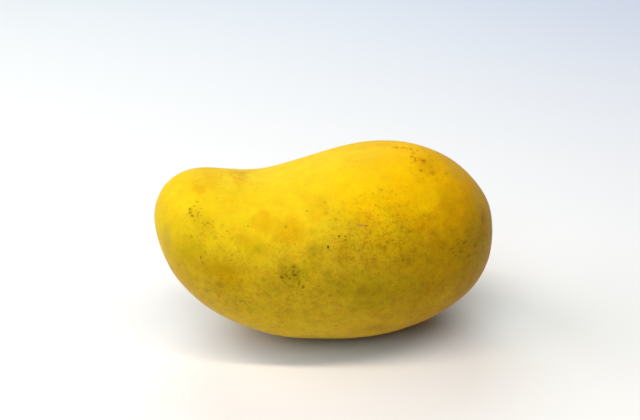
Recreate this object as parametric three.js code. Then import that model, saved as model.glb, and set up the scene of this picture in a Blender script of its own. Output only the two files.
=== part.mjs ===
// A ripe yellow mango of the slim, curved kind, lying on the round of its back.
//
// Millimetres, +Z up. X runs from the tip (-X) to the stem end (+X), and Y from cheek to cheek.
// The fruit rests on a small flat spot at Z = 0, and the origin lies under the middle of its box.
//
// A place along the fruit is given as a share of half its length: -1 at the tip, 0 half way,
// +1 at the stem end.

import * as THREE from "three";
import { mergeVertices } from "three/addons/utils/BufferGeometryUtils.js";

// Overall size
const LENGTH = 120; // tip to stem end
const CHEEK_HALF_WIDTH = 32; // core to the face of a cheek, half way along
const CHEEK_TAPER = 0.05; // share by which the cheeks are wider at the stem end, narrower at the tip
const CHEEK_ROUNDING = 0.03; // share by which the cheeks draw in at both ends
const EGG = 0.03; // share by which a cross-section is broader in its lower half than in its upper

// The core is the straight line from the tip to the stem end.
const TIP_RISE = 10.5; // the tip's height above the stem end
const TIP_BLUNTNESS = 0.8; // 1 is a plain ellipse's end, and less is fuller
const STEM_BLUNTNESS = 0.76;

// The upper side, measured up from the core. A swell is a smooth rise, and a negative one a hollow.
const UPPER_HEIGHT = 27;
const SHOULDER = { height: 7, at: 0.85, span: 0.8 };
const HOLLOW = { height: -10, at: -0.43, span: 0.43 };
const BEAK = { height: 5, at: -1, span: 0.45 };

// The back, measured down from the core
const BACK_DEPTH = 43;
const BACK_SLOPE = { height: -4, at: 0.75, span: 0.4 };

// The stem end: a shallow dimple with the corky scar that the stem leaves
const DIMPLE_DEPTH = 1.5;
const DIMPLE_RADIUS = 5.5;
const SCAR_RADIUS = 3.2; // middle of the scar's raised rim
const SCAR_RIM_HEIGHT = 0.5;
const SCAR_RIM_WIDTH = 0.9;

// The flat spot is cut this far above the lowest point of the round back.
const FLAT_CUT = 0.8;

// Fineness of the mesh: rings from the stem end to the tip, and sides round each ring
const RINGS = 64;
const SIDES = 64;
const RING_GRADING = 0.5; // share by which the rings stand closer at the stem end than on average

// Height of a smooth, bell-shaped swell at a place along the fruit
function swell({ height, at, span }, place) {
  return height * Math.exp(-(((place - at) / span) ** 2));
}

// A ball of radius 1 about the Y axis, with its rings crowded towards the end at +1
function unitBall() {
  const profile = [];
  for (let ring = RINGS; ring >= 0; ring -= 1) {
    const step = ring / RINGS;
    const angle = Math.PI * step * (1 - RING_GRADING * (1 - step));
    profile.push(new THREE.Vector2(Math.sin(angle), Math.cos(angle)));
  }
  profile[0].x = 0;
  profile[RINGS].x = 0;
  const ball = new THREE.LatheGeometry(profile, SIDES);
  ball.deleteAttribute("normal");
  ball.deleteAttribute("uv");
  return mergeVertices(ball);
}

// How far the stem end stands out, or dips in, at a distance from the middle of the scar
function stemRelief(distance) {
  const dimple = -DIMPLE_DEPTH * Math.exp(-((distance / DIMPLE_RADIUS) ** 2));
  const rim = SCAR_RIM_HEIGHT * Math.exp(-(((distance - SCAR_RADIUS) / SCAR_RIM_WIDTH) ** 2));
  return dimple + rim;
}

// The point of the skin that a point of the unit ball goes to. On the ball, Y runs along the fruit,
// Z across it and X up.
function skinPoint(ball) {
  const bluntness = ball.y < 0 ? TIP_BLUNTNESS : STEM_BLUNTNESS;
  const place = Math.sign(ball.y) * Math.abs(ball.y) ** bluntness;
  const girth = Math.hypot(ball.x, ball.z); // 0 at both ends, 1 half way
  const uprightness = girth > 0 ? ball.x / girth : 0;

  const upper =
    UPPER_HEIGHT + swell(SHOULDER, place) + swell(HOLLOW, place) + swell(BEAK, place);
  const back = BACK_DEPTH + swell(BACK_SLOPE, place);
  const core = (-TIP_RISE * place) / 2;
  const middle = core + (girth * (upper - back)) / 2;
  const cheek = CHEEK_HALF_WIDTH * (1 + CHEEK_TAPER * place - CHEEK_ROUNDING * place ** 2);

  const relief = place > 0 ? stemRelief(girth * cheek) : 0;
  return new THREE.Vector3(
    (LENGTH / 2) * place + relief,
    ball.z * cheek * (1 - EGG * uprightness),
    middle + (ball.x * (upper + back)) / 2,
  );
}

// The whole fruit, stem end, scar and all: it grew as one piece, and is one closed solid.
function mangoGeometry() {
  const fruit = unitBall();
  const points = fruit.getAttribute("position");
  for (let i = 0; i < points.count; i += 1) {
    const point = skinPoint(new THREE.Vector3().fromBufferAttribute(points, i));
    points.setXYZ(i, point.x, point.y, point.z);
  }

  fruit.computeBoundingBox();
  const restLevel = fruit.boundingBox.min.z + FLAT_CUT;
  for (let i = 0; i < points.count; i += 1) {
    points.setZ(i, Math.max(points.getZ(i), restLevel));
  }

  fruit.computeBoundingBox();
  const middle = fruit.boundingBox.getCenter(new THREE.Vector3());
  fruit.translate(-middle.x, -middle.y, -restLevel);
  fruit.computeVertexNormals();
  return fruit;
}

const ripeSkin = new THREE.MeshStandardMaterial({
  color: 0xe6b414,
  roughness: 0.45,
  metalness: 0,
});

const mango = new THREE.Mesh(mangoGeometry(), ripeSkin);
mango.name = "mango";

const group = new THREE.Group();
group.name = "ripe mango";
group.add(mango);

export default group;
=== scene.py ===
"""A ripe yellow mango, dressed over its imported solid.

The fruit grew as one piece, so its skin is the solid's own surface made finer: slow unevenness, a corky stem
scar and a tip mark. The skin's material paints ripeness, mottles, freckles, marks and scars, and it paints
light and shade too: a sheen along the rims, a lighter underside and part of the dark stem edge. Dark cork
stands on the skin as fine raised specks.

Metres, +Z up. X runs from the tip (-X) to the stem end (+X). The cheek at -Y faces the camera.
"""

import math
import random

import bmesh
import bpy
from mathutils import Matrix, Vector
from mathutils.bvhtree import BVHTree


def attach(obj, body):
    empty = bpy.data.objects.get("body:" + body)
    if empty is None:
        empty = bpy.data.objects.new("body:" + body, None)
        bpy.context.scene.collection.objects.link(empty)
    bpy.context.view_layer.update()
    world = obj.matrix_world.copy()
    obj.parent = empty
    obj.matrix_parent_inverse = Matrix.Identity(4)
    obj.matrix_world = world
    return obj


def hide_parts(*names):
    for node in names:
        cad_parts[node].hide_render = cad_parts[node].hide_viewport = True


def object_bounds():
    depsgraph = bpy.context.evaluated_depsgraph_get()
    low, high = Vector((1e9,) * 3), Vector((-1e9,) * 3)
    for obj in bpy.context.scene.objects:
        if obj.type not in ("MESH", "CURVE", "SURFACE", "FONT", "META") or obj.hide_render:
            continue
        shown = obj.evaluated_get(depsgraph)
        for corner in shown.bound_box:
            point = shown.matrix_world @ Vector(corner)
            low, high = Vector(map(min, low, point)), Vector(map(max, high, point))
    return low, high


bl_info = {
    "name": "Ripe Mango",
    "version": (1, 0, 0),
    "blender": (4, 5, 0),
    "location": "3D Viewport > Sidebar > Mango",
    "description": "Skin, pores and stage for a ripe yellow mango",
    "category": "Object",
}

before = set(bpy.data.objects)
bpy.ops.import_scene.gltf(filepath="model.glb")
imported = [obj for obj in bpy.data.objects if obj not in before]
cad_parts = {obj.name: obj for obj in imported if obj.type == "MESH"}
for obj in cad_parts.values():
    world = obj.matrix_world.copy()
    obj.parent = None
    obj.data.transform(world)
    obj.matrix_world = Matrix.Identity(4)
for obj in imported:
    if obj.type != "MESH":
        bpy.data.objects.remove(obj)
CAD_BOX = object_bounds()
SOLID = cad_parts["mango"]

MM = 0.001
IMAGE_SIZE = (640, 420)
SENSOR_WIDTH = 36.0

# The two ends of the fruit, worked out from the solid's box
STEM_END = Vector((CAD_BOX[1].x, 0.0, 0.51 * CAD_BOX[1].z))
TIP_END = Vector((CAD_BOX[0].x, 0.0, 0.66 * CAD_BOX[1].z))


# --- Patches, marks and specks --------------------------------------------------------------------
# Each one's middle is a pixel of the camera's view, across and down, and lies on the skin that the pixel
# shows.
# One with far=True lies on the other cheek, as its mirror image.


def patch(across, down, size, strength, tilt=0, far=False):
    """A soft patch: half its size along the fruit, through it and up, in millimetres, how strongly it shows,
    and how far its right end is turned down, in degrees."""
    return {"pixel": (across, down), "size": size, "strength": strength, "tilt": tilt, "far": far}


def speck(across, down, size, dark):
    """A cork speck: half its size across and up, in millimetres, and how dark it is."""
    return {"pixel": (across, down), "size": size, "dark": dark, "far": False}


def cluster(across, down, spread, count, dark, far=False):
    """A cluster of cork specks: its spread across and up, in millimetres, how many, and how dark."""
    return {"pixel": (across, down), "spread": spread, "count": count, "dark": dark, "far": far}


# Tones of the peel, each laid over the ones before it, and last a painted sheen along the rims
GLOW_PATCHES = {
    "tip flank": patch(220, 222, (22, 24, 9.5), 1.0, tilt=8),
    "middle": patch(290, 223, (16, 24, 6), 0.9, tilt=5),
    "underside": patch(264, 320, (18, 24, 6), 0.35),
    "tip": patch(186, 228, (12, 24, 11), 0.5, tilt=20),
    "under middle": patch(306, 270, (5, 24, 8), 0.45),
    "far cheek": patch(300, 215, (26, 24, 10), 0.8, tilt=-8, far=True),
    "flank foot": patch(219, 257, (4, 20, 3), 0.4),
    "belly": patch(309, 331, (10, 24, 4), 0.35),
    "low right": patch(438, 300, (10, 24, 5), 0.2, tilt=-35),
    "beak": patch(219, 180, (9, 20, 3.5), 0.5),
    "saddle": patch(335, 190, (11, 24, 4.5), 0.5, tilt=-15),
    "low left": patch(249, 283, (5, 20, 3.5), 0.3),
}
GOLD_PATCHES = {
    "shoulder": patch(418, 186, (16, 30, 13), 1.0, tilt=15),
    "upper cheek": patch(372, 201, (13, 24, 8), 0.75, tilt=10),
    "crown": patch(416, 160, (11, 26, 5), 0.8, tilt=20),
    "lower cheek": patch(390, 242, (10, 24, 5), 0.3),
    "far shoulder": patch(395, 205, (18, 26, 12), 0.8, tilt=5, far=True),
    "stem band": patch(453, 232, (5, 20, 3.5), 0.25, tilt=10),
    "cheek left": patch(345, 215, (4.5, 20, 3.5), 0.4),
}
AMBER_PATCHES = {
    "stem shoulder": patch(432, 185, (14, 34, 12), 0.3, tilt=20),
    "middle": patch(289, 232, (6, 20, 4), 0.6, tilt=25),
    "beak": patch(199, 185, (3, 12, 2.2), 0.6),
    "hollow": patch(210, 174, (5, 12, 1.6), 0.4),
    "hollow right": patch(240, 175, (3, 10, 1.2), 0.65),
    "far tip": patch(210, 215, (10, 20, 6), 0.5, tilt=10, far=True),
    "right": patch(448, 206, (6.5, 20, 6), 0.75, tilt=40),
    "cheek right": patch(429, 221, (7, 20, 4), 0.75),
    "cheek": patch(367, 223, (4.5, 20, 3), 0.35),
    "middle left": patch(265, 222, (5, 20, 2.2), 0.55, tilt=5),
    "shoulder marks": patch(430, 166.5, (5, 10, 3), 0.7, tilt=20),
    "middle high": patch(317, 211, (5, 20, 3.5), 0.35),
}
OCHRE_PATCHES = {
    "low left": patch(224, 278, (8, 22, 6), 0.9, tilt=12),
    "left rim": patch(184, 262, (6, 20, 9), 0.5, tilt=15),
    "far low": patch(330, 285, (18, 22, 8), 0.6, tilt=-8, far=True),
    "middle left": patch(251, 245, (5.5, 20, 3.5), 0.5, tilt=20),
    "low left right": patch(246, 274, (5, 20, 4), 0.4),
}
BRONZE_PATCHES = {
    "cheek smudge": patch(345, 250, (4, 10, 5), 0.5),
    "cheek": patch(392, 250, (13, 24, 7), 0.3, tilt=5),
    "stem band": patch(449, 247, (9, 24, 4.5), 0.45),
    # The stem edge is partly the peel's own brown and partly painted shade along the stem end's rim
    "stem edge": patch(479, 240, (7, 40, 13), 0.65),
    "far band": patch(420, 268, (14, 24, 6), 0.5, tilt=10, far=True),
    "right": patch(450, 204, (5, 20, 4), 0.25, tilt=40),
    "cheek foot": patch(381, 264, (5, 20, 4), 0.35),
    "foot": patch(374, 329, (9, 24, 3.5), 0.4),
    "cheek right": patch(401, 252, (4.5, 20, 4.5), 0.35),
    "band upper": patch(461, 234, (5, 20, 4.5), 0.45),
}
OLIVE_PATCHES = {
    "left flank": patch(194, 252, (6.5, 24, 6), 0.3, tilt=20),
    "middle flank": patch(292, 276, (5.5, 24, 6), 0.48, tilt=30),
    "lower flank": patch(364, 287, (20, 24, 7), 0.5, tilt=10),
    "upper right": patch(405, 222, (7, 24, 4), 0.2, tilt=25),
    "low right": patch(405, 262, (3.5, 24, 2.2), 0.4),
    "stem side": patch(476, 244, (7, 30, 9), 0.3),
    "far middle": patch(372, 262, (6, 24, 6), 0.5, tilt=30, far=True),
    "far low": patch(250, 285, (14, 24, 6), 0.35, tilt=-10, far=True),
    "tip": patch(200, 223, (5, 20, 4.5), 0.22, tilt=20),
    "middle right": patch(311, 268, (4, 20, 8.5), 0.42, tilt=15),
    "lower left": patch(370, 299, (9, 20, 5.5), 0.42, tilt=10),
    "under middle": patch(273, 289, (5.5, 20, 4.5), 0.3),
    "foot": patch(380, 327, (5, 20, 3), 0.3),
    "middle flank low": patch(303, 278, (3, 12, 4.5), 0.4),
    "middle left": patch(264, 250, (3, 16, 2), 0.15),
}
# Painted sheen: pale, greyish peel along the rims, where the pale surroundings are reflected at grazing
# angles
RIM_SHEEN_PATCHES = {
    "right rim": patch(477, 194, (3, 16, 6), 0.45),
    "top right rim": patch(455, 166, (6, 14, 3), 0.35, tilt=35),
    "left rim": patch(167, 242, (2, 14, 7), 0.6, tilt=5),
}
# Dark mottles, as deep shades of the peel under them
SMUDGES = {
    "stem end": patch(480, 244, (6, 20, 11), 0.15, tilt=10),
    "edge streak": patch(483, 218, (1.6, 6, 3), 0.6),
    "edge patch": patch(473, 229, (1.2, 4, 0.8), 0.3),
    "band left": patch(465, 242, (1.3, 4, 0.8), 0.65),
    "band right": patch(475, 245, (1.2, 4, 1), 0.7),
    "band low": patch(461, 252, (1.2, 4, 0.7), 0.7),
    "band low right": patch(468, 256, (1.5, 4, 0.8), 0.75),
    "band under": patch(469, 262, (0.9, 4, 0.9), 0.6),
    "low left": patch(220, 285, (2, 6, 1.6), 0.6, tilt=20),
    "low left flank": patch(226, 269, (4.5, 8, 2.2), 0.3, tilt=15),
    "tip": patch(196, 213, (2.6, 6, 3), 0.1, tilt=30),
    "tip left": patch(190.5, 209.5, (0.9, 3, 0.8), 0.5),
    "tip low": patch(192, 215.5, (1.1, 3, 0.6), 0.5, tilt=10),
    "tip trail": patch(208, 225, (3, 6, 2), 0.2, tilt=30),
    "shoulder start": patch(393.5, 146.8, (0.53, 0.59, 0.41), 0.57),
    "shoulder first": patch(396.5, 147.5, (0.77, 0.83, 0.47), 1.0),
    "shoulder high": patch(403.8, 148, (1.53, 0.71, 0.47), 0.63, tilt=5),
    "shoulder bend": patch(410.8, 149.8, (0.71, 1.18, 0.71), 0.8),
    "shoulder link": patch(413.8, 152.8, (0.71, 1.06, 0.59), 0.52),
    "shoulder chain": patch(412, 156.5, (0.94, 1.06, 0.59), 0.63, tilt=10),
    "shoulder dot": patch(415.2, 158.6, (0.53, 0.71, 0.47), 0.98),
    "shoulder dark": patch(423.5, 160.6, (1.3, 0.83, 0.53), 1.0),
    "shoulder under": patch(424, 162.5, (1.53, 1.89, 0.94), 0.57),
    "shoulder far": patch(430.4, 167, (0.83, 1.42, 0.83), 0.52),
    "shoulder low": patch(420.8, 170.2, (1, 1.06, 0.59), 0.86),
    "shoulder right": patch(433, 173, (1.06, 1.65, 0.83), 0.63, tilt=20),
    "shoulder last": patch(415.8, 175, (0.59, 0.94, 0.47), 0.34),
    "shoulder rim": patch(446.5, 173, (1.2, 1.8, 0.8), 0.4),
    "band high": patch(466, 231, (1.4, 4, 0.7), 0.5, tilt=-20),
    "band far left": patch(452, 249, (1.6, 4, 0.6), 0.5),
    "band edge": patch(480, 238, (0.9, 4, 1.6), 0.5),
    "band upper": patch(468, 235, (2.4, 6, 1.8), 0.3),
    "shoulder field": patch(429.5, 164.5, (2.2, 3, 1.3), 0.18, tilt=20),
    "shoulder streak": patch(434, 172.5, (1.4, 1.6, 0.7), 0.35, tilt=30),
    "hollow": patch(242, 173, (2.4, 6, 0.6), 0.35),
    "band far right": patch(475.5, 253, (1.2, 4, 0.8), 0.55),
    "band outer": patch(486.5, 236, (0.7, 4, 1.3), 0.5),
}
# Short dark green strokes: a cluster on the near cheek, and a few mottles
MOSS_MARKS = {
    "heart": patch(295, 275, (1.1, 4, 0.55), 1.0, tilt=-8),
    "heart tail": patch(298.3, 272.6, (0.6, 4, 0.45), 0.6, tilt=-25),
    "left": patch(281.8, 277.3, (1, 4, 0.55), 0.95, tilt=30),
    "left low": patch(285, 282.8, (1.1, 4, 0.5), 0.45, tilt=40),
    "left link": patch(287, 276, (0.5, 4, 0.45), 0.6),
    "middle": patch(289.7, 278.8, (0.6, 4, 0.5), 0.75),
    "middle low": patch(294.3, 281.5, (0.6, 4, 0.9), 0.35),
    "low": patch(290.6, 286.5, (1.6, 4, 0.7), 0.4),
    "stroke": patch(299.3, 282.8, (0.5, 4, 1.2), 0.65, tilt=5),
    "low right": patch(303.1, 287.4, (0.5, 4, 0.7), 0.95),
    "foot": patch(302, 295.2, (0.8, 4, 0.35), 0.55),
    "foot left": patch(297, 293.2, (0.5, 4, 0.4), 0.45),
    "top left": patch(284.9, 267.4, (0.9, 4, 0.5), 0.45),
    "top": patch(293.8, 266.8, (0.9, 4, 0.65), 0.65),
    "top low": patch(290.2, 270.7, (0.9, 4, 0.5), 0.35),
    "right high": patch(302.7, 273.4, (0.6, 4, 0.45), 0.45),
    "right": patch(303.4, 277.1, (0.5, 4, 0.5), 0.5),
    "far right": patch(306.5, 277, (0.8, 4, 1.8), 0.25),
    "far left": patch(278, 273.2, (1.2, 4, 0.4), 0.35),
    "left trail": patch(271, 279, (1.5, 4, 0.7), 0.2),
    "belly": patch(363, 293, (2.6, 8, 1.7), 0.25, tilt=10),
    "mottle left": patch(258, 249.5, (1.8, 6, 1.3), 0.22),
    "mottle right": patch(312, 250.5, (1.8, 6, 1.5), 0.22),
    "mottle high": patch(313, 232, (1.8, 6, 1.2), 0.25),
    "mottle low": patch(327, 274, (1.4, 6, 1.3), 0.25),
    "mottle lowest": patch(331, 282, (1.6, 6, 1), 0.22),
}
# Where the peel is freckled
FRECKLED_PATCHES = {
    "cheek": patch(384, 246, (28, 26, 18), 0.9),
    "tip side": patch(224, 248, (19, 24, 8), 0.55, tilt=18),
    "shoulder": patch(430, 168, (14, 40, 6), 0.45, tilt=30),
    "stem side": patch(474, 242, (9, 30, 16), 0.65),
    "belly": patch(320, 300, (40, 24, 8), 0.35),
    "middle": patch(290, 256, (15, 24, 8), 0.5, tilt=5),
}
# Cork specks that are placed one by one
CORK_MARKS = {
    "cheek dash": speck(328, 247, (0.42, 0.9), 1.0),
    "cheek dot": speck(339, 236, (0.5, 0.5), 0.65),
    "cheek pair": speck(345.5, 236.5, (0.5, 0.4), 0.55),
    "cheek pair lower": speck(345.5, 239.8, (0.5, 0.42), 0.65),
    "cheek last dot": speck(353, 236, (0.32, 0.42), 0.35),
    "scar end": speck(366.5, 225.6, (0.55, 0.28), 0.75),
    "upper smudge": speck(307, 211, (0.7, 0.42), 0.3),
    "orange dot": speck(295, 244, (0.42, 0.34), 0.2),
    "low left dot": speck(256, 267, (0.4, 0.45), 0.35),
    "tip dash": speck(201, 257.5, (0.4, 1), 0.6),
    "tip dash low": speck(202.6, 262.5, (0.32, 0.6), 0.4),
    "tip high": speck(198, 202, (0.5, 0.4), 0.3),
    "tip upper": speck(194, 206, (0.5, 0.4), 0.45),
    "tip left": speck(190, 209, (0.75, 0.4), 0.6),
    "tip low": speck(189.5, 212.5, (0.42, 0.6), 0.5),
    "tip lowest": speck(192, 215.8, (0.7, 0.38), 0.6),
    "tip under": speck(194.5, 221, (0.45, 0.4), 0.3),
    "tip inner": speck(198, 213, (0.45, 0.35), 0.35),
    "tip inner right": speck(201, 215.5, (0.42, 0.35), 0.25),
    "tip trail": speck(208, 223, (0.7, 0.5), 0.35),
    "tip trail end": speck(213, 227, (0.5, 0.42), 0.25),
    "tip far right": speck(227, 231, (0.45, 0.42), 0.25),
    "upper pair": speck(378, 215.5, (0.5, 0.4), 0.2),
    "upper pair right": speck(386, 220, (0.42, 0.4), 0.2),
    "bright dot": speck(392, 191.5, (0.3, 0.4), 0.25),
    "bright dot right": speck(396, 194, (0.35, 0.3), 0.2),
    "right dash": speck(401, 228, (0.32, 0.55), 0.35),
    "right dash upper": speck(402, 222, (0.3, 0.4), 0.2),
    "right dot": speck(412, 211, (0.4, 0.4), 0.15),
    "low right dash": speck(403, 260, (0.4, 0.9), 0.35),
    "low right dot": speck(379, 273, (0.5, 0.4), 0.25),
    "belly dot": speck(396, 286, (0.5, 0.4), 0.25),
    "belly dot right": speck(427, 289, (0.6, 0.3), 0.25),
    "belly dot far right": speck(447, 284, (0.35, 0.35), 0.3),
    "belly dot left": speck(349, 287, (0.4, 0.35), 0.3),
    "belly dot middle": speck(331, 277, (0.4, 0.35), 0.25),
    "belly dot low": speck(372, 307, (0.4, 0.6), 0.2),
    "heart": speck(295, 275, (1, 0.4), 0.85),
    "heart top": speck(294.5, 266, (0.45, 0.4), 0.4),
    "heart low": speck(303, 287.2, (0.34, 0.45), 0.6),
    "hollow dash": speck(236, 172, (0.9, 0.22), 0.25),
    "hollow dash right": speck(244, 175, (0.8, 0.3), 0.2),
    "shoulder first": speck(396.5, 147.5, (0.42, 0.3), 0.55),
    "shoulder dot": speck(415.2, 158.6, (0.32, 0.32), 0.5),
    "shoulder dark": speck(422.5, 160.4, (0.45, 0.28), 0.65),
    "shoulder dark right": speck(425, 160.8, (0.36, 0.28), 0.5),
    "shoulder low": speck(421, 170.2, (0.42, 0.32), 0.35),
    "cluster left": speck(281.4, 277.2, (0.75, 0.42), 0.55),
    "cluster link": speck(287.2, 276, (0.4, 0.32), 0.4),
    "cluster middle": speck(289.7, 278.8, (0.42, 0.32), 0.45),
    "cluster stroke": speck(299.3, 281.5, (0.28, 0.6), 0.4),
    "glow dot": speck(248, 226, (0.5, 0.4), 0.25),
}
# Cork specks that are strewn in clusters
CORK_CLUSTERS = {
    "middle": cluster(292, 277, (3.4, 4.2), 18, 0.4),
    "tip": cluster(193, 211, (2.2, 2.8), 8, 0.3),
    "tip lower": cluster(205, 221, (2.6, 1.8), 7, 0.25),
    "shoulder left": cluster(401, 148, (3.2, 0.8), 7, 0.35),
    "shoulder": cluster(417, 158, (3, 4.6), 16, 0.35),
    "low left": cluster(242, 301, (1.8, 1.2), 9, 0.45),
    "stem band": cluster(462, 250, (6.5, 3), 26, 0.2),
    "stem edge": cluster(484, 236, (3, 5), 16, 0.25),
    "bright": cluster(385, 194, (4.5, 3), 10, 0.15),
    "far cheek": cluster(372, 262, (3, 4.5), 34, 0.45, far=True),
    "far tip": cluster(225, 236, (4, 2), 18, 0.3, far=True),
    "far shoulder": cluster(440, 215, (5, 4), 26, 0.3, far=True),
    "belly right": cluster(440, 282, (3.2, 2), 9, 0.3),
}
# Pale dry scars, which are only painted
SCAR_PATCHES = {
    "cheek": patch(362.3, 225.9, (1.25, 4, 0.38), 0.8),
}

# --- Patterns of the peel -------------------------------------------------------------------------
# Lengths are in metres. A pair is where a pattern starts and where it is full, or the factors between which
# it changes the peel.

# Noise that moves the edges of patches and marks: its width and its reach
RAGGED = (9 * MM, 12 * MM)
FRAYED = (2.5 * MM, 2.2 * MM)
CREASED = (1.1 * MM, 0.9 * MM)
# Values that a noise has in most places, the lower ones of them, and their middle
COMMON = (0.3, 0.7)
LOWER = (0.3, 0.6)
MIDDLE = 0.5
# Edge of a soft patch, as shares of its size, and the least shift that makes one patch wait for another
PATCH_EDGE = (1.35, 0.25)
NEXT_TO_NOTHING = 1e-9

# Amber along the fruit, and the dull band round its middle, by height; towards the underside the band eases
# off, lighter there as painted light bounced up from the floor
AMBER_ALONG = (-4 * MM, 42 * MM)
BAND_TOP = (60 * MM, 42 * MM)
BAND_FOOT = (31 * MM, 15 * MM)
# Share of the dullness left on the underside; the rest is lifted as painted light from the floor
BELOW_BAND = 0.55
BAND_SLOPE = -0.25
BAND_WAVER_WIDTH = 34 * MM
BAND_WAVER = 14 * MM

# Mottles: their width and factors, and where in the noise they are read from
MOTTLE_WIDTH = 3.6 * MM
MOTTLE_SHADES = (-0.11, 0.08)
MOTTLES_ALL_OVER = 0.45
MOTTLES_IN_BAND = 0.6
HUE_WIDTH = 5 * MM
HUE_FACTORS = (0.935, 1.065)
HUE_PLACE = (0.3, 0.1, 0.2)
TANG_WIDTH = 1.7 * MM
TANG_FACTORS = (0.975, 1.025)
TANG_PLACE = (0.1, 0.4, 0.3)

# Freckles and marks, as factors for red and blue and for green
FRECKLE_TINT = (0.56, 0.46)
MOSS_TINT = (0.40, 0.41)
WORN_ALL_OVER = 0.15
WORN_IN_BAND = 0.45
BLOTCH_WIDTH, BLOTCH_SPAN, BLOTCH_STRENGTH = 2.8 * MM, (0.44, 0.68), 0.55
GRAIN_WIDTH, GRAIN_SPAN, GRAIN_STRENGTH = 0.8 * MM, (0.48, 0.68), 0.6
SMUDGE_FACTORS = (0.6, 1.3)
MOSS_FACTORS = (0.7, 1.2)
# Sets of fine freckles: spacing and radius in millimetres, share of places that hold one, strength
FRECKLES = ((1.7, 0.55, 0.9, 0.3), (2.6, 0.70, 0.75, 0.5), (4.0, 0.70, 0.5, 0.5))
LEAST_WORN = 0.08
# Range of the freckles' radii, as shares of their set's radius, and their soft edge
PORE_SIZES = (0.5, 1.4)
PORE_EDGE = (1.0, 0.45)

# Cork and stain at both ends, by the distance from the end over the cork's reach
STEM_CORK_REACH = 3.9 * MM
TIP_CORK_REACH = 1.0 * MM
CRUMB_WIDTH = 1.4 * MM
CORK_CONTRAST = 2.0
EDGE_UNEVENNESS = 0.7
CORK_EDGE = (1.1, 0.92)
RIM_PLACE, RIM_EDGE, RIM_STRENGTH = 0.85, (0.3, 0.05), 0.6
RUSSET_EDGE, RUSSET_STRENGTH = (2.6, 1.1), 0.5
FLECK_WIDTH, FLECK_SPAN = 0.9 * MM, (0.48, 0.58)
STAIN_EDGE, STAIN_STRENGTH = (3.2, 1.0), 0.6
# Dried sap that ran down from the stem: where it lies from the stem end, half its size in millimetres
SAP_OFFSET = Vector((-1.0 * MM, 2.5 * MM, -8.0 * MM))
SAP_SIZE = (8, 2.6, 7)
SAP_STRENGTH = 0.6

# Wax of the peel and its fine pits
WAX_WIDTH, WAX_ROUGHNESS = 22 * MM, (0.5, 0.6)
PIT_WIDTH, PIT_DEPTH = 1.1 * MM, 0.1 * MM

# --- Relief and cork specks -----------------------------------------------------------------------

MERGE_DISTANCE = 0.001 * MM
REST_MARGIN = 6 * MM
SWELL_GAIN = 4.0
CORK_CRUMB_WIDTH = 1.3 * MM
CRUMB_GAIN = 2.0
CORK_RELIEF_EDGE = (1.0, 0.7)
SPECK_CLEARANCE = 0.08 * MM
SPECK_DEPTH = 0.25
SPECK_RAGGEDNESS, SPECK_RAGGED_WIDTH = 0.12 * MM, 0.5 * MM
SPECK_CRUMB_WIDTH, SPECK_CRUMB_CONTRAST = 0.3 * MM, 0.4
# Filter of the palest speck
PALEST_FILTER = (0.92, 0.88, 0.88, 1.0)
# Ranges of the specks' girth, of their height over their girth, and of how dark they are
CLUSTER_GIRTH, CLUSTER_FLATNESS, CLUSTER_DARKNESS = (0.9, 2.2), (0.4, 0.8), (0.5, 1.2)
LOOSE_GIRTH, LOOSE_FLATNESS, LOOSE_DARKNESS = (0.6, 1.3), (0.5, 1.0), (0.0, 0.3)
LOOSE_REACH = 40 * MM
LOOSE_ALL_OVER = 0.06

# --- Stage ----------------------------------------------------------------------------------------

# Soft lamps all round. Azimuth 0 is the near cheek's side, 90 the stem end's; power is in watts, and the
# size is in metres, across and through. The long strip overhead gives the shadow its firm near edge.
LAMPS = {
    "overhead_strip": {
        "azimuth": 350, "elevation": 79, "size": (2.0, 0.1), "power": 13.3, "tint": (1.0, 0.88, 0.74)
    },
    "left_lamp": {
        "azimuth": 260, "elevation": 35, "size": (1.0, 1.0), "power": 8.1, "tint": (0.96, 0.93, 1.0)
    },
    "rear_lamp": {
        "azimuth": 182, "elevation": 43, "size": (0.9, 0.9), "power": 6.5, "tint": (0.74, 0.92, 1.0)
    },
    "front_lamp": {
        "azimuth": 337, "elevation": 50, "size": (1.0, 1.0), "power": 7.6, "tint": (0.63, 0.82, 1.0)
    },
}
LAMP_DISTANCE = 1.2
LAMP_AIM = Vector((0.0, 0.0, 0.035))
# The floor: half its side, where painted shade makes it darker and cooler behind and from left to right, and
# where it fades out
FLOOR_HALF = 3.0
FLOOR_SLANT = 0.6
FLOOR_SHADE_BEHIND = (0.0, 0.55)
FLOOR_SHADE_ACROSS = (-0.3, 0.3)
FLOOR_FADE = (0.5, 0.95)


# --- Settings -------------------------------------------------------------------------------------


def colour_setting(name, description, default):
    """A colour that can be changed in the sidebar."""
    return bpy.props.FloatVectorProperty(
        name=name, description=description, default=(*default, 1.0), subtype="COLOR", size=4, min=0.0, max=1.0
    )


def length_setting(name, description, default):
    """A length that can be changed in the sidebar."""
    return bpy.props.FloatProperty(
        name=name, description=description, default=default, unit="LENGTH", precision=5
    )


class MangoSkinSettings(bpy.types.PropertyGroup):
    """Form and relief of the skin"""

    levels: bpy.props.IntProperty(
        name="Levels",
        description="How often the solid's faces are divided into smooth smaller ones",
        default=2,
        min=0,
        max=3,
    )
    unevenness: length_setting(
        "Unevenness", "Height of the slow swells and flats of the skin", 0.35 * MM
    )
    swell_width: length_setting("Swell width", "Width of one slow swell", 26 * MM)
    cork_relief: length_setting(
        "Cork relief", "Height of the rough cork on the stem scar", 0.22 * MM
    )
    cork_radius: length_setting(
        "Cork radius", "How far the cork reaches from the middle of the stem scar", 4.2 * MM
    )


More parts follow.
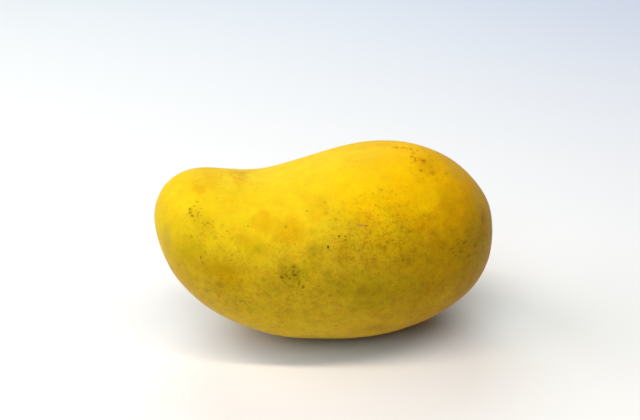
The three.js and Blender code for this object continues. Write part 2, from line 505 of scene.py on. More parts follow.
class MangoColourSettings(bpy.types.PropertyGroup):
    """Colours of the peel and of its cork"""

    lemon: colour_setting("Lemon", "Ripe peel on the tip's half", (0.70, 0.475, 0.008))
    glow: colour_setting("Glow", "Brightest ripe peel, on both cheeks", (0.80, 0.53, 0.009))
    gold: colour_setting("Gold", "Bright ripe peel on the stem shoulder", (0.86, 0.497, 0.001))
    amber: colour_setting("Amber", "Ripest peel, towards the stem end", (0.625, 0.305, 0.001))
    ochre: colour_setting("Ochre", "Dull amber, low on the tip's half", (0.58, 0.335, 0.001))
    straw: colour_setting("Straw", "Duller peel low on the tip's half", (0.62, 0.385, 0.011))
    bronze: colour_setting("Bronze", "Duller peel low on the stem's half", (0.43, 0.235, 0.001))
    olive: colour_setting("Olive", "Peel that is still a little green", (0.32, 0.214, 0.001))
    # Rim sheen is painted sheen, the pale surroundings reflected along the rims at both ends
    tan: colour_setting("Tan", "Dry, dull peel at both ends", (0.50, 0.325, 0.035))
    pore: colour_setting("Pore", "Filter that the darkest speck lays over the peel", (0.13, 0.05, 0.03))
    umber: colour_setting("Umber", "Stained peel round the stem scar", (0.36, 0.19, 0.008))
    cork_rim: colour_setting("Cork rim", "Pale cork round a scar, and russet skin", (0.31, 0.19, 0.065))
    scar: colour_setting("Scar", "Dry pale scars", (0.42, 0.19, 0.06))
    cork: colour_setting("Cork", "Dry cork of the stem scar", (0.15, 0.085, 0.035))


class MangoCorkSettings(bpy.types.PropertyGroup):
    """Cork specks that stand on the skin"""

    loose_specks: bpy.props.IntProperty(
        name="Loose specks",
        description="How many specks are strewn over the whole fruit",
        default=380,
        min=0,
    )
    speck_radius: length_setting("Speck radius", "Radius of a common speck", 0.3 * MM)
    speck_height: length_setting("Speck height", "How far a speck stands out of the skin", 0.1 * MM)
    seed: bpy.props.IntProperty(
        name="Seed", description="Another number strews the specks another way", default=11
    )


class MangoStageSettings(bpy.types.PropertyGroup):
    """Camera, floor and light"""

    lens: bpy.props.FloatProperty(
        name="Lens", description="Focal length in millimetres", default=50.0
    )
    azimuth: bpy.props.FloatProperty(
        name="Azimuth",
        description="Turn of the camera round the fruit, 0 being square to the near cheek",
        default=math.radians(-6.0),
        subtype="ANGLE",
    )
    elevation: bpy.props.FloatProperty(
        name="Elevation",
        description="Height of the camera above the horizon, as an angle",
        default=math.radians(28.0),
        subtype="ANGLE",
    )
    distance: length_setting("Distance", "From the camera to the point that it looks at", 312.66 * MM)
    target: bpy.props.FloatVectorProperty(
        name="Target",
        description="Point that the camera looks at",
        subtype="TRANSLATION",
        size=3,
        default=(-2.05 * MM, 0.0, 47.74 * MM),
        precision=4,
    )
    floor: colour_setting("Floor", "Colour of the plain floor", (0.77, 0.75, 0.725))
    # Both far floor colours are painted shade: darker and cooler behind, where the lamps' light falls off
    far_left_floor_shade: colour_setting(
        "Far left floor", "Colour of the floor behind the tip", (0.625, 0.645, 0.645)
    )
    far_right_floor_shade: colour_setting(
        "Far right floor", "Colour of the floor behind the stem end", (0.64, 0.665, 0.765)
    )
    distance_colour: colour_setting(
        "Distance colour", "Pale tone that the floor passes into far away", (0.84, 0.86, 0.89)
    )
    lamp_power: bpy.props.FloatProperty(
        name="Lamp power", description="Share of the lamps' full power", default=1.0
    )
    sky: bpy.props.FloatProperty(
        name="Sky", description="Strength of the even light from all round", default=0.02
    )


# --- The view, and what lies behind one of its pixels ---------------------------------------------


def direction(turn, rise):
    """The way out from the fruit at an azimuth and an elevation."""
    return Vector((math.sin(turn) * math.cos(rise), -math.cos(turn) * math.cos(rise), math.sin(rise)))


def view_axes(stage):
    """The camera's place and its right, up and backward directions."""
    back = direction(stage.azimuth, stage.elevation)
    right = Vector((math.cos(stage.azimuth), math.sin(stage.azimuth), 0.0))
    return Vector(stage.target) + back * stage.distance, right, back.cross(right), back


def surface_of(mesh):
    """A mesh's surface, ready for rays."""
    corners = [vertex.co for vertex in mesh.vertices]
    return BVHTree.FromPolygons(corners, [tuple(face.vertices) for face in mesh.polygons])


def middle_of(place, stage, surface):
    """The point of the skin behind a patch's or a speck's pixel, or its mirror image on the far cheek."""
    eye, right, up, back = view_axes(stage)
    across, down = [
        (pixel - side / 2) / IMAGE_SIZE[0] * SENSOR_WIDTH for pixel, side in zip(place["pixel"], IMAGE_SIZE)
    ]
    ray = (right * across - up * down - back * stage.lens).normalized()
    point = surface.ray_cast(eye, ray)[0]
    if point is None:
        raise RuntimeError(f"pixel {place['pixel']} of the view shows no skin")
    if place["far"]:
        point.y = -point.y
    return point


# --- Node trees -----------------------------------------------------------------------------------

FLOAT = "NodeSocketFloat"
VECTOR = "NodeSocketVector"
COLOUR = "NodeSocketColor"
GEOMETRY = "NodeSocketGeometry"
MATERIAL = "NodeSocketMaterial"
NODE_STEP = 190


def put(socket, value):
    """Links an input to another node's output, or sets its plain value."""
    if isinstance(value, bpy.types.NodeSocket):
        socket.node.id_data.links.new(value, socket)
    else:
        socket.default_value = value


def add(tree, kind, inputs=None, **settings):
    """A new node with its settings, and its inputs by name or number."""
    node = tree.nodes.new(kind)
    node.location = (NODE_STEP * len(tree.nodes), 0)
    for name, value in settings.items():
        setattr(node, name, value)
    for key, value in (inputs or {}).items():
        put(node.inputs[key], value)
    return node


def use(tree, node_group, inputs):
    """The outputs of a node that holds a group, with its own values."""
    kind = "GeometryNodeGroup" if tree.type == "GEOMETRY" else "ShaderNodeGroup"
    return add(tree, kind, inputs, node_tree=node_group).outputs


def maths(tree, operation, *values, clamp=False):
    """The result of a Math node."""
    node = add(tree, "ShaderNodeMath", dict(enumerate(values)), operation=operation, use_clamp=clamp)
    return node.outputs[0]


def plus(tree, first, second):
    """A sum."""
    return maths(tree, "ADD", first, second)


def minus(tree, first, second):
    """A difference."""
    return maths(tree, "SUBTRACT", first, second)


def times(tree, first, second):
    """A product."""
    return maths(tree, "MULTIPLY", first, second)


def vectors(tree, operation, *values):
    """The vector result of a Vector Math node."""
    return add(tree, "ShaderNodeVectorMath", dict(enumerate(values)), operation=operation).outputs[0]


def length(tree, vector):
    """The length of a vector."""
    return add(tree, "ShaderNodeVectorMath", {0: vector}, operation="LENGTH").outputs["Value"]


def ramp(tree, value, start, end, low=0.0, high=1.0, smooth=True):
    """Value taken from start..end to low..high, and held beyond both."""
    return add(
        tree,
        "ShaderNodeMapRange",
        {"Value": value, "From Min": start, "From Max": end, "To Min": low, "To Max": high},
        interpolation_type="SMOOTHSTEP" if smooth else "LINEAR",
    ).outputs["Result"]


def noise(tree, position, width, detail=2.0, roughness=0.5, output="Fac"):
    """Noise whose features are about width metres wide."""
    inputs = {"Vector": position, "Scale": 1.0 / width, "Detail": detail, "Roughness": roughness}
    return add(tree, "ShaderNodeTexNoise", inputs).outputs[output]


def stray(tree, position, width, detail, roughness):
    """Noise as a vector, about as often one way as the other."""
    colour = noise(tree, position, width, detail, roughness, "Color")
    return vectors(tree, "SUBTRACT", colour, (MIDDLE, MIDDLE, MIDDLE))


def strayed(tree, position, width, reach):
    """A position moved about by noise, which makes the edges of what is drawn with it ragged."""
    way = stray(tree, position, width, detail=4.0, roughness=0.6)
    return vectors(tree, "ADD", position, vectors(tree, "MULTIPLY", way, (reach, reach, reach)))


def blend(tree, mask, below, above, mode="MIX"):
    """Two colours mixed by a mask."""
    inputs = {"Factor": mask, 6: below, 7: above}
    return add(tree, "ShaderNodeMix", inputs, data_type="RGBA", blend_type=mode).outputs[2]


def tinted(tree, colour, shade, green):
    """A colour made lighter or darker by a factor, with a factor of its own for green."""
    factors = add(tree, "ShaderNodeCombineXYZ", {0: shade, 1: green, 2: shade}).outputs[0]
    return blend(tree, 1.0, colour, factors, "MULTIPLY")


def group(name, kind, inputs, outputs):
    """A new node group with its sockets, and the nodes that stand for its inputs and outputs."""
    tree = bpy.data.node_groups.new(name, kind)
    for socket, socket_type, default in inputs:
        made = tree.interface.new_socket(name=socket, in_out="INPUT", socket_type=socket_type)
        if default is not None:
            made.default_value = default
    for socket, socket_type in outputs:
        tree.interface.new_socket(name=socket, in_out="OUTPUT", socket_type=socket_type)
    return tree, tree.nodes.new("NodeGroupInput").outputs, tree.nodes.new("NodeGroupOutput").inputs


def new_material(name):
    """A new material, its node tree and its Principled shader."""
    material = bpy.data.materials.new(name)
    material.use_nodes = True
    return material, material.node_tree, material.node_tree.nodes["Principled BSDF"]


def finish_shader(shader, inputs):
    """Sets or links a shader's own sockets."""
    for name, value in inputs.items():
        put(shader.inputs[name], value)


def soft_patch_group():
    """A soft-edged ellipsoid, 1 at its heart and 0 outside, laid over the patches before it."""
    tree, given, made = group(
        "Soft Patch",
        "ShaderNodeTree",
        [
            ("Position", VECTOR, None),
            ("Centre", VECTOR, (0.0, 0.0, 0.0)),
            ("Tilt", VECTOR, (0.0, 0.0, 0.0)),
            ("Size", VECTOR, (0.01, 0.01, 0.01)),
            ("Strength", FLOAT, 1.0),
            ("Before", FLOAT, 0.0),
        ],
        [("Mask", FLOAT)],
    )
    # This shift is next to nothing, but it makes the patch wait for the one before it. A shader holds only
    # a few hundred values at once, and this way each patch is done with before the next one starts.
    shift = add(tree, "ShaderNodeCombineXYZ", {0: times(tree, given["Before"], NEXT_TO_NOTHING)})
    local = add(
        tree,
        "ShaderNodeMapping",
        {
            "Vector": vectors(tree, "ADD", given["Position"], shift.outputs[0]),
            "Location": given["Centre"],
            "Rotation": given["Tilt"],
            "Scale": given["Size"],
        },
        vector_type="TEXTURE",
    )
    mask = ramp(tree, length(tree, local.outputs["Vector"]), *PATCH_EDGE)
    mask = times(tree, mask, given["Strength"])
    put(made["Mask"], maths(tree, "MAXIMUM", mask, given["Before"]))
    return tree


def pore_group():
    """Small round dots, one or none to a cell. A dot is smaller where the skin cuts its cell off centre."""
    tree, given, made = group(
        "Pores",
        "ShaderNodeTree",
        [
            ("Position", VECTOR, None),
            ("Spacing", FLOAT, 0.002),
            ("Radius", FLOAT, 0.0003),
            ("Share", FLOAT, 0.5),
        ],
        [("Mask", FLOAT)],
    )
    scale = maths(tree, "DIVIDE", 1.0, given["Spacing"])
    cells = add(
        tree,
        "ShaderNodeTexVoronoi",
        {"Vector": given["Position"], "Scale": scale, "Randomness": 1.0},
        feature="F1",
    ).outputs
    away = times(tree, cells["Distance"], given["Spacing"])
    dice = add(tree, "ShaderNodeSeparateColor", {0: cells["Color"]}).outputs
    radius = times(tree, given["Radius"], ramp(tree, dice["Green"], 0.0, 1.0, *PORE_SIZES))
    dot = ramp(tree, maths(tree, "DIVIDE", away, radius), *PORE_EDGE)
    kept = maths(tree, "LESS_THAN", dice["Red"], given["Share"])
    put(made["Mask"], times(tree, dot, kept))
    return tree


def patches(tree, soft_patch, position, places, stage, surface):
    """The strongest of a set of named patches at each point."""
    strongest = 0.0
    for place in places.values():
        inputs = {
            "Position": position,
            "Centre": middle_of(place, stage, surface),
            "Tilt": (0.0, math.radians(place["tilt"]), 0.0),
            "Size": [side * MM for side in place["size"]],
            "Strength": place["strength"],
            "Before": strongest,
        }
        strongest = use(tree, soft_patch, inputs)["Mask"]
    return strongest


# --- Materials ------------------------------------------------------------------------------------


def peel_group(colours, stage):
    """Colours of the peel: ripeness and mottling alone, and with freckles and the cork of both ends."""
    tree, given, made = group(
        "Peel Colour",
        "ShaderNodeTree",
        [("Position", VECTOR, None)],
        [("Ripeness", COLOUR), ("Colour", COLOUR)],
    )
    surface = surface_of(SOLID.data)
    soft_patch = soft_patch_group()
    pores = pore_group()
    position = given["Position"]
    ragged = strayed(tree, position, *RAGGED)
    frayed = strayed(tree, position, *FRAYED)
    along = add(tree, "ShaderNodeSeparateXYZ", {0: ragged}).outputs

    # Ripeness: amber grows towards the stem end, and a wide band round the middle is duller. Below the band
    # the dullness eases off, and the lighter underside is painted light bounced up from the floor.
    stemward = ramp(tree, along["X"], *AMBER_ALONG)
    tipward = times(tree, maths(tree, "MINIMUM", along["X"], 0.0), BAND_SLOPE)
    waver = minus(tree, noise(tree, position, BAND_WAVER_WIDTH), MIDDLE)
    height = plus(tree, along["Z"], tipward)
    height = plus(tree, height, times(tree, waver, BAND_WAVER))
    low = ramp(tree, height, *BAND_TOP)
    low = times(tree, low, ramp(tree, height, *BAND_FOOT, 1.0, BELOW_BAND))
    colour = blend(tree, stemward, colours.lemon, colours.amber)
    dull = blend(tree, stemward, colours.straw, colours.bronze)
    colour = blend(tree, low, colour, dull)
    for tone, places, strayed_by in (
        (colours.glow, GLOW_PATCHES, ragged),
        (colours.gold, GOLD_PATCHES, ragged),
        (colours.amber, AMBER_PATCHES, ragged),
        (colours.ochre, OCHRE_PATCHES, ragged),
        (colours.bronze, BRONZE_PATCHES, frayed),
        (colours.olive, OLIVE_PATCHES, frayed),
        # The last set paints sheen along the rims
        (colours.tan, RIM_SHEEN_PATCHES, frayed),
    ):
        mask = patches(tree, soft_patch, strayed_by, places, stage, surface)
        colour = blend(tree, mask, colour, tone)

    # Mottling and grain
    freckled = patches(tree, soft_patch, frayed, FRECKLED_PATCHES, stage, surface)
    mottle = noise(tree, frayed, MOTTLE_WIDTH, detail=3.0, roughness=0.6)
    calm = plus(tree, times(tree, low, MOTTLES_IN_BAND), MOTTLES_ALL_OVER)
    shade = times(tree, ramp(tree, mottle, *COMMON, *MOTTLE_SHADES, smooth=False), calm)
    shade = plus(tree, shade, 1.0)
    hue = noise(tree, vectors(tree, "ADD", ragged, HUE_PLACE), HUE_WIDTH, detail=3.0, roughness=0.6)
    hue = times(tree, shade, ramp(tree, hue, *COMMON, *HUE_FACTORS, smooth=False))
    tang = noise(tree, vectors(tree, "ADD", frayed, TANG_PLACE), TANG_WIDTH, detail=2.0, roughness=0.6)
    hue = times(tree, hue, ramp(tree, tang, *COMMON, *TANG_FACTORS, smooth=False))
    colour = tinted(tree, colour, shade, hue)
    put(made["Ripeness"], colour)

    # Freckles: blotches, grain, smudges and pores, all a deeper shade of the peel under them
    deeper = tinted(tree, colour, *FRECKLE_TINT)
    blotches = ramp(tree, noise(tree, position, BLOTCH_WIDTH, detail=4.0, roughness=0.65), *BLOTCH_SPAN)
    grain = ramp(tree, noise(tree, position, GRAIN_WIDTH, detail=2.0, roughness=0.7), *GRAIN_SPAN)
    depth = plus(tree, times(tree, blotches, BLOTCH_STRENGTH), times(tree, grain, GRAIN_STRENGTH))
    worn = plus(tree, times(tree, low, WORN_IN_BAND), WORN_ALL_OVER)
    worn = maths(tree, "MAXIMUM", freckled, worn)
    depth = times(tree, depth, worn)
    creased = strayed(tree, position, *CREASED)
    smudged = patches(tree, soft_patch, creased, SMUDGES, stage, surface)
    smudged = times(tree, smudged, ramp(tree, mottle, *LOWER, *SMUDGE_FACTORS))
    depth = maths(tree, "MAXIMUM", depth, smudged)
    spread = minus(tree, worn, LEAST_WORN)
    for spacing, radius, share, strength in FRECKLES:
        inputs = {
            "Position": position,
            "Spacing": spacing * MM,
            "Radius": radius * MM,
            "Share": times(tree, spread, share),
        }
        dots = use(tree, pores, inputs)["Mask"]
        depth = maths(tree, "MAXIMUM", depth, times(tree, dots, strength))
    mossed = patches(tree, soft_patch, creased, MOSS_MARKS, stage, surface)
    mossed = maths(tree, "MULTIPLY", mossed, ramp(tree, mottle, *LOWER, *MOSS_FACTORS), clamp=True)
    colour = blend(tree, depth, colour, deeper)
    colour = blend(tree, mossed, colour, tinted(tree, colour, *MOSS_TINT))
    scarred = patches(tree, soft_patch, position, SCAR_PATCHES, stage, surface)
    colour = blend(tree, scarred, colour, colours.scar)

    # The stem scar and the mark at the tip, each with russet skin and a stain round it
    crumbs = noise(tree, position, CRUMB_WIDTH, detail=4.0, roughness=0.65)
    uneven = minus(tree, crumbs, MIDDLE)
    flecks = ramp(tree, noise(tree, position, FLECK_WIDTH, detail=2.0, roughness=0.6), *FLECK_SPAN)
    inputs = {
        "Position": frayed,
        "Centre": STEM_END + SAP_OFFSET,
        "Size": [side * MM for side in SAP_SIZE],
        "Strength": SAP_STRENGTH,
    }
    colour = blend(tree, use(tree, soft_patch, inputs)["Mask"], colour, colours.umber)
    for end, reach in ((STEM_END, STEM_CORK_REACH), (TIP_END, TIP_CORK_REACH)):
        away = length(tree, vectors(tree, "SUBTRACT", position, end))
        away = plus(tree, maths(tree, "DIVIDE", away, reach), times(tree, uneven, EDGE_UNEVENNESS))
        stained = times(tree, ramp(tree, away, *STAIN_EDGE), STAIN_STRENGTH)
        russet = times(tree, ramp(tree, away, *RUSSET_EDGE), flecks)
        rim = ramp(tree, maths(tree, "ABSOLUTE", minus(tree, away, RIM_PLACE)), *RIM_EDGE)
        corked = ramp(tree, away, *CORK_EDGE)
        shade = times(tree, crumbs, CORK_CONTRAST)
        cork = tinted(tree, colours.cork, shade, shade)
        cork = blend(tree, times(tree, rim, RIM_STRENGTH), cork, colours.cork_rim)
        colour = blend(tree, stained, colour, colours.umber)
        colour = blend(tree, times(tree, russet, RUSSET_STRENGTH), colour, colours.cork_rim)
        colour = blend(tree, corked, colour, cork)
    put(made["Colour"], colour)
    return tree


def peel_material(peel):
    """Waxy peel with a fine grain."""
    material, tree, shader = new_material("ripe_peel")
    position = add(tree, "ShaderNodeTexCoord").outputs["Object"]
    wax = noise(tree, position, WAX_WIDTH, detail=3.0, roughness=0.55)
    pits = noise(tree, position, PIT_WIDTH, detail=2.0, roughness=0.6)
    bump = add(tree, "ShaderNodeBump", {"Strength": 0.25, "Distance": PIT_DEPTH, "Height": pits})
    inputs = {
        "Base Color": use(tree, peel, {"Position": position})["Colour"],
        "Roughness": ramp(tree, wax, *COMMON, *WAX_ROUGHNESS, smooth=False),
        "Normal": bump.outputs["Normal"],
        "Specular IOR Level": 0.07,
        "Specular Tint": (1.0, 0.86, 0.08, 1.0),
        "Sheen Weight": 0.14,
        "Sheen Roughness": 0.35,
        "Sheen Tint": (0.9, 0.8, 0.55, 1.0),
    }
    finish_shader(shader, inputs)
    return material


def cork_material(peel, pore):
    """Dry cork of the specks: the peel under each speck, darkened from hardly at all to nearly black."""
    material, tree, shader = new_material("pore_cork")
    position = add(tree, "ShaderNodeTexCoord").outputs["Object"]
    ripeness = use(tree, peel, {"Position": position})["Ripeness"]
    dark = add(tree, "ShaderNodeAttribute", attribute_name="dark").outputs["Fac"]
    crumbs = noise(tree, position, SPECK_CRUMB_WIDTH, detail=2.0, roughness=0.6)
    dark = plus(tree, dark, times(tree, minus(tree, crumbs, MIDDLE), SPECK_CRUMB_CONTRAST))
    filtered = blend(tree, ramp(tree, dark, 0.0, 1.0, smooth=False), PALEST_FILTER, pore)
    colour = blend(tree, 1.0, ripeness, filtered, "MULTIPLY")
    finish_shader(shader, {"Base Color": colour, "Roughness": 0.75, "Specular IOR Level": 0.03})
    return material


def floor_material(stage):
    """Pale floor, warm where it is near, and darker and cooler far behind as painted shade."""
    material, tree, shader = new_material("pale_floor")
    position = add(tree, "ShaderNodeTexCoord").outputs["Object"]
    place = add(tree, "ShaderNodeSeparateXYZ", {0: position}).outputs
    aside = times(tree, place["X"], FLOOR_SLANT)
    behind = ramp(tree, plus(tree, aside, place["Y"]), *FLOOR_SHADE_BEHIND, smooth=False)
    rightward = ramp(tree, place["X"], *FLOOR_SHADE_ACROSS, smooth=False)
    far = blend(tree, rightward, stage.far_left_floor_shade, stage.far_right_floor_shade)
    colour = blend(tree, behind, stage.floor, far)
    finish_shader(shader, {"Base Color": colour, "Roughness": 0.85, "Specular IOR Level": 0.2})

    # Past the lamps' reach the floor passes into the pale distance.
    from_fruit = length(tree, position)
    distance = add(tree, "ShaderNodeEmission", {"Color": stage.distance_colour}).outputs[0]
    fade = ramp(tree, from_fruit, *FLOOR_FADE)
    faded = add(tree, "ShaderNodeMixShader", {0: fade, 1: shader.outputs["BSDF"], 2: distance})
    put(tree.nodes["Material Output"].inputs["Surface"], faded.outputs[0])
    return material


# --- Geometry -------------------------------------------------------------------------------------


def new_object(name, data):
    """A new object in the scene."""
    made = bpy.data.objects.new(name, data)
    bpy.context.scene.collection.objects.link(made)
    return made


def merged_copy(source, name):
    """A copy of a loose-triangle mesh with its corners joined and its triangles paired into quads."""
    mesh = bpy.data.meshes.new(name)
    form = bmesh.new()
    form.from_mesh(source.data)
    bmesh.ops.remove_doubles(form, verts=form.verts, dist=MERGE_DISTANCE)
    bmesh.ops.join_triangles(
        form,
        faces=form.faces,
        angle_face_threshold=math.radians(40),
        angle_shape_threshold=math.radians(70),
    )
    form.to_mesh(mesh)
    form.free()
    return new_object(name, mesh)


def shifted(tree, geometry, way, amount):
    """Geometry moved along a field of vectors, as many times its length as the amount says."""
    offset = vectors(tree, "SCALE", way)
    put(offset.node.inputs["Scale"], amount)
    moved = add(tree, "GeometryNodeSetPosition", {"Geometry": geometry, "Offset": offset})
    return moved.outputs["Geometry"]


def realized(tree, geometry):
    """Geometry with its instances made real."""
    return add(tree, "GeometryNodeRealizeInstances", {"Geometry": geometry}).outputs["Geometry"]


def dressed(tree, geometry, material):
    """Geometry shaded smooth and given a material."""
    smooth = add(tree, "GeometryNodeSetShadeSmooth", {"Geometry": geometry}).outputs["Geometry"]
    painted = add(tree, "GeometryNodeSetMaterial", {"Geometry": smooth, "Material": material})
    return painted.outputs["Geometry"]


def skin_tree():
    """Geometry Nodes that make the skin fine, uneven, and corky at the stem scar."""
    tree, given, made = group(
        "Mango Skin",
        "GeometryNodeTree",
        [
            ("Geometry", GEOMETRY, None),
            ("Levels", "NodeSocketInt", 2),
            ("Unevenness", FLOAT, 0.0004),
            ("Swell Width", FLOAT, 0.03),
            ("Stem End", VECTOR, None),
            ("Cork Radius", FLOAT, 0.004),
            ("Cork Relief", FLOAT, 0.0002),
            ("Peel", MATERIAL, None),
        ],
        [("Geometry", GEOMETRY)],
    )
    inputs = {"Mesh": given["Geometry"], "Level": given["Levels"]}
    fine = add(tree, "GeometryNodeSubdivisionSurface", inputs).outputs["Mesh"]
    position = add(tree, "GeometryNodeInputPosition").outputs[0]
    normal = add(tree, "GeometryNodeInputNormal").outputs[0]

    scale = maths(tree, "DIVIDE", 1.0, given["Swell Width"])
    inputs = {"Vector": position, "Scale": scale, "Detail": 1.5}
    swells = add(tree, "ShaderNodeTexNoise", inputs).outputs["Fac"]
    above_rest = add(tree, "ShaderNodeSeparateXYZ", {0: position}).outputs["Z"]
    clear_of_rest = ramp(tree, above_rest, 0.0, REST_MARGIN)
    lift = times(tree, minus(tree, swells, MIDDLE), given["Unevenness"])
    lift = times(tree, times(tree, lift, SWELL_GAIN), clear_of_rest)

    from_stem = length(tree, vectors(tree, "SUBTRACT", position, given["Stem End"]))
    on_cork = ramp(tree, maths(tree, "DIVIDE", from_stem, given["Cork Radius"]), *CORK_RELIEF_EDGE)
    crumbs = noise(tree, position, CORK_CRUMB_WIDTH, detail=3.0)
    cork = times(tree, minus(tree, crumbs, MIDDLE), given["Cork Relief"])
    cork = times(tree, times(tree, cork, CRUMB_GAIN), on_cork)
    shaped = shifted(tree, fine, normal, plus(tree, lift, cork))
    put(made["Geometry"], dressed(tree, realized(tree, shaped), given["Peel"]))
    return tree


def speck_tree():
    """Geometry Nodes that set a flat blob on each point, turned and sized as the point says."""
    tree, given, made = group(
        "Cork Specks",
        "GeometryNodeTree",
        [
            ("Geometry", GEOMETRY, None),
            ("Raggedness", FLOAT, 0.0001),
            ("Cork", MATERIAL, None),
        ],
        [("Geometry", GEOMETRY)],
    )
    blob = add(tree, "GeometryNodeMeshUVSphere", {"Segments": 8, "Rings": 5, "Radius": 1.0})
    turn, stretch = [
        add(tree, "GeometryNodeInputNamedAttribute", {"Name": name}, data_type="FLOAT_VECTOR")
        for name in ("turn", "stretch")
    ]
    inputs = {
        "Points": given["Geometry"],
        "Instance": blob.outputs["Mesh"],
        "Rotation": add(tree, "FunctionNodeEulerToRotation", {0: turn.outputs["Attribute"]}).outputs[0],
        "Scale": stretch.outputs["Attribute"],
    }
    placed = add(tree, "GeometryNodeInstanceOnPoints", inputs).outputs["Instances"]
    position = add(tree, "GeometryNodeInputPosition").outputs[0]
    frayed = stray(tree, position, SPECK_RAGGED_WIDTH, detail=1.0, roughness=0.5)
    ragged = shifted(tree, realized(tree, placed), frayed, given["Raggedness"])
    put(made["Geometry"], dressed(tree, ragged, given["Cork"]))
    return tree


def grow(piece, tree, values):
    """Runs a Geometry Nodes tree on a piece, and keeps the result as its plain mesh."""
    modifier = piece.modifiers.new(tree.name, "NODES")
    modifier.node_group = tree
    sockets = {item.name: item.identifier for item in tree.interface.items_tree}
    for name, value in values.items():
        modifier[sockets[name]] = value
    bpy.context.view_layer.update()
    evaluated = piece.evaluated_get(bpy.context.evaluated_depsgraph_get())
    mesh = bpy.data.meshes.new_from_object(evaluated)
    piece.modifiers.remove(modifier)
    piece.data = mesh
    mesh.name = piece.name


def fit_to_box(piece, box):
    """Draws a piece in by the hair's breadth that its swells stand out of the solid's box."""
    corners = [vertex.co for vertex in piece.data.vertices]
    low = Vector([min(corner[axis] for corner in corners) for axis in range(3)])
    high = Vector([max(corner[axis] for corner in corners) for axis in range(3)])
    for vertex in piece.data.vertices:
        for axis in range(3):
            share = (vertex.co[axis] - low[axis]) / (high[axis] - low[axis])
            vertex.co[axis] = box[0][axis] + share * (box[1][axis] - box[0][axis])


# --- Operators ------------------------------------------------------------------------------------


class MANGO_OT_grow_skin(bpy.types.Operator):
    """Grow the fine skin over the solid and paint it"""

    bl_idname = "mango.grow_skin"
    bl_label = "Grow Skin"

    def execute(self, context):
        skin = context.scene.mango_skin
        piece = merged_copy(SOLID, "mango_skin")
        peel = peel_group(context.scene.mango_colours, context.scene.mango_stage)
        values = {
            "Levels": skin.levels,
            "Unevenness": skin.unevenness,
            "Swell Width": skin.swell_width,
            "Stem End": STEM_END,
            "Cork Radius": skin.cork_radius,
            "Cork Relief": skin.cork_relief,
            "Peel": peel_material(peel),
        }
        grow(piece, skin_tree(), values)
        fit_to_box(piece, CAD_BOX)
        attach(piece, "root")
        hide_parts("mango")
        return {"FINISHED"}


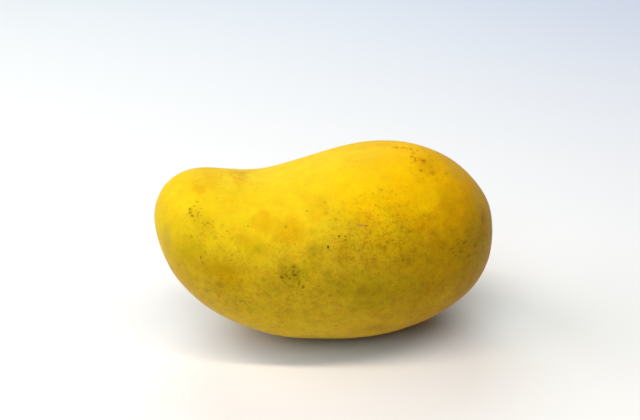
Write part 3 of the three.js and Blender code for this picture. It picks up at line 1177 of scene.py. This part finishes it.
class MANGO_OT_strew_specks(bpy.types.Operator):
    """Strew raised cork specks over the skin"""

    bl_idname = "mango.strew_specks"
    bl_label = "Strew Specks"

    def execute(self, context):
        cork = context.scene.mango_cork
        stage = context.scene.mango_stage
        self.surface = surface_of(bpy.data.objects["mango_skin"].data)
        self.right = view_axes(stage)[1]
        self.height = cork.speck_height
        self.specks = []
        dice = random.Random(cork.seed)
        for mark in CORK_MARKS.values():
            across, up = [side * MM for side in mark["size"]]
            self.set_speck(middle_of(mark, stage, self.surface), across, up, 0.0, mark["dark"])
        for specks in CORK_CLUSTERS.values():
            self.set_cluster(specks, stage, cork.speck_radius, dice)
        self.set_loose(cork, stage, dice)
        peel = bpy.data.node_groups["Peel Colour"]
        self.make_piece(cork_material(peel, context.scene.mango_colours.pore))
        return {"FINISHED"}

    def rightward(self, normal):
        """The view's right-hand way along the skin at a place with this normal."""
        return (self.right - normal * self.right.dot(normal)).normalized()

    def set_speck(self, near, across, up, turn, dark):
        """One speck at the skin's nearest point, unless it would stand out of the solid's box."""
        place, normal = self.surface.find_nearest(near)[:2]
        right = Matrix.Rotation(turn, 3, normal) @ self.rightward(normal)
        rise = max(across, up) * SPECK_DEPTH + self.height
        basis = Matrix((right, normal.cross(right), normal)).transposed()
        peak = place + normal * (self.height + SPECK_CLEARANCE)
        if any(not CAD_BOX[0][axis] < peak[axis] < CAD_BOX[1][axis] for axis in range(3)):
            return
        sunk = place - normal * (rise - self.height)
        self.specks.append((sunk, basis.to_euler(), Vector((across, up, rise)), dark))

    def set_cluster(self, specks, stage, radius, dice):
        """A cluster's specks, thickest round its middle."""
        middle = middle_of(specks, stage, self.surface)
        normal = self.surface.find_nearest(middle)[1]
        right = self.rightward(normal)
        up = normal.cross(right)
        for _ in range(specks["count"]):
            across, rise = [dice.gauss(0.0, 0.5) * side * MM for side in specks["spread"]]
            girth = radius * dice.uniform(*CLUSTER_GIRTH)
            self.set_speck(
                middle + right * across + up * rise,
                girth,
                girth * dice.uniform(*CLUSTER_FLATNESS),
                dice.uniform(0.0, math.pi),
                specks["dark"] * dice.uniform(*CLUSTER_DARKNESS),
            )

    def set_loose(self, cork, stage, dice):
        """Specks all over, more of them where the peel is freckled, on both cheeks alike."""
        solid = surface_of(SOLID.data)
        fields = [(middle_of(place, stage, solid), place) for place in FRECKLED_PATCHES.values()]
        heart = Vector((0.0, 0.0, 0.5 * CAD_BOX[1].z))
        enough = len(self.specks) + cork.loose_specks
        while len(self.specks) < enough:
            away = Vector([dice.gauss(0.0, 1.0) for _ in range(3)]).normalized()
            start = heart + Vector((away.x * LOOSE_REACH, 0.0, 0.0))
            place = self.surface.ray_cast(start, away)[0]
            chance, girth, dark = dice.random(), dice.uniform(*LOOSE_GIRTH), dice.uniform(*LOOSE_DARKNESS)
            if place is None:
                continue
            mirrored = Vector((place.x, -abs(place.y), place.z))
            share = LOOSE_ALL_OVER
            for middle, field in fields:
                local = mirrored - middle
                size = Vector(field["size"]) * MM
                local = Vector([local[axis] / size[axis] for axis in range(3)])
                share += field["strength"] * max(0.0, 1.0 - local.length)
            if chance > share:
                continue
            girth *= cork.speck_radius
            flat = girth * dice.uniform(*LOOSE_FLATNESS)
            self.set_speck(place, girth, flat, dice.uniform(0, math.pi), dark)

    def make_piece(self, cork):
        """All the specks as one piece: points that say how each is turned, stretched and darkened."""
        mesh = bpy.data.meshes.new("cork_specks")
        places, turns, stretches, darks = zip(*self.specks)
        mesh.from_pydata(places, [], [])
        for name, values in (("turn", turns), ("stretch", stretches)):
            for point, value in zip(mesh.attributes.new(name, "FLOAT_VECTOR", "POINT").data, values):
                point.vector = value
        for point, value in zip(mesh.attributes.new("dark", "FLOAT", "POINT").data, darks):
            point.value = value
        piece = new_object("cork_specks", mesh)
        grow(piece, speck_tree(), {"Raggedness": SPECK_RAGGEDNESS, "Cork": cork})
        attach(piece, "root")


class MANGO_OT_set_stage(bpy.types.Operator):
    """Lay the floor, and set the lamps and the camera"""

    bl_idname = "mango.set_stage"
    bl_label = "Set Stage"

    def execute(self, context):
        stage = context.scene.mango_stage
        self.lay_floor(stage)
        for name, lamp in LAMPS.items():
            self.hang(name, lamp, stage)
        self.paint_distance(context, stage)
        self.set_camera(context, stage)
        context.scene.view_settings.view_transform = "Standard"
        return {"FINISHED"}

    def lay_floor(self, stage):
        """A wide flat floor at the height of the fruit's rest."""
        half = FLOOR_HALF
        corners = [(-half, -half, 0), (half, -half, 0), (half, half, 0), (-half, half, 0)]
        mesh = bpy.data.meshes.new("floor")
        mesh.from_pydata(corners, [], [(0, 1, 2, 3)])
        mesh.materials.append(floor_material(stage))
        floor = new_object("floor", mesh)

    def hang(self, name, lamp, stage):
        """One soft lamp that points at the fruit."""
        light = bpy.data.lights.new(name, "AREA")
        light.shape = "ELLIPSE"
        light.size, light.size_y = lamp["size"]
        light.energy = lamp["power"] * stage.lamp_power
        light.color = lamp["tint"]
        away = direction(math.radians(lamp["azimuth"]), math.radians(lamp["elevation"]))
        lantern = new_object(name, light)
        lantern.location = LAMP_AIM + away * LAMP_DISTANCE
        lantern.rotation_euler = (-away).to_track_quat("-Z", "Y").to_euler()

    def paint_distance(self, context, stage):
        """A pale distance behind the floor, for the eye alone: the lamps do the lighting."""
        world = bpy.data.worlds.new("pale_distance")
        world.use_nodes = True
        tree = world.node_tree
        unlit = tree.nodes["Background"]
        unlit.inputs["Strength"].default_value = stage.sky
        seen = add(tree, "ShaderNodeBackground", {"Color": stage.distance_colour}).outputs["Background"]
        by_eye = add(tree, "ShaderNodeLightPath").outputs["Is Camera Ray"]
        mixed = add(tree, "ShaderNodeMixShader", {0: by_eye, 1: unlit.outputs["Background"], 2: seen})
        put(tree.nodes["World Output"].inputs["Surface"], mixed.outputs[0])
        context.scene.world = world

    def set_camera(self, context, stage):
        """The camera, at its place in the view."""
        data = bpy.data.cameras.new("camera")
        data.lens = stage.lens
        data.sensor_width = SENSOR_WIDTH
        camera = new_object("camera", data)
        camera.location, _, _, back = view_axes(stage)
        camera.rotation_euler = (-back).to_track_quat("-Z", "Y").to_euler()
        context.scene.camera = camera


class MANGO_PT_panel(bpy.types.Panel):
    """Sizes, colours and build steps of the mango"""

    bl_label = "Mango"
    bl_idname = "MANGO_PT_panel"
    bl_space_type = "VIEW_3D"
    bl_region_type = "UI"
    bl_category = "Mango"

    def draw(self, context):
        for name, (_, operator) in STEPS.items():
            settings = getattr(context.scene, name)
            box = self.layout.box()
            for prop in settings.bl_rna.properties:
                if prop.identifier not in {"rna_type", "name"}:
                    box.prop(settings, prop.identifier)
            if operator is not None:
                box.operator(operator.bl_idname)


# Each group of settings by its name in the scene, with the operator that its box in the panel offers
STEPS = {
    "mango_skin": (MangoSkinSettings, MANGO_OT_grow_skin),
    "mango_cork": (MangoCorkSettings, MANGO_OT_strew_specks),
    "mango_colours": (MangoColourSettings, None),
    "mango_stage": (MangoStageSettings, MANGO_OT_set_stage),
}
CLASSES = [
    *(settings for settings, _ in STEPS.values()),
    *(operator for _, operator in STEPS.values() if operator is not None),
    MANGO_PT_panel,
]


def register():
    for cls in CLASSES:
        bpy.utils.register_class(cls)
    for name, (settings, _) in STEPS.items():
        setattr(bpy.types.Scene, name, bpy.props.PointerProperty(type=settings))


def unregister():
    for name in STEPS:
        delattr(bpy.types.Scene, name)
    for cls in reversed(CLASSES):
        bpy.utils.unregister_class(cls)


def main():
    """Builds the mango and its stage."""
    register()
    bpy.ops.mango.grow_skin()
    bpy.ops.mango.strew_specks()
    bpy.ops.mango.set_stage()


if __name__ == "__main__":
    main()
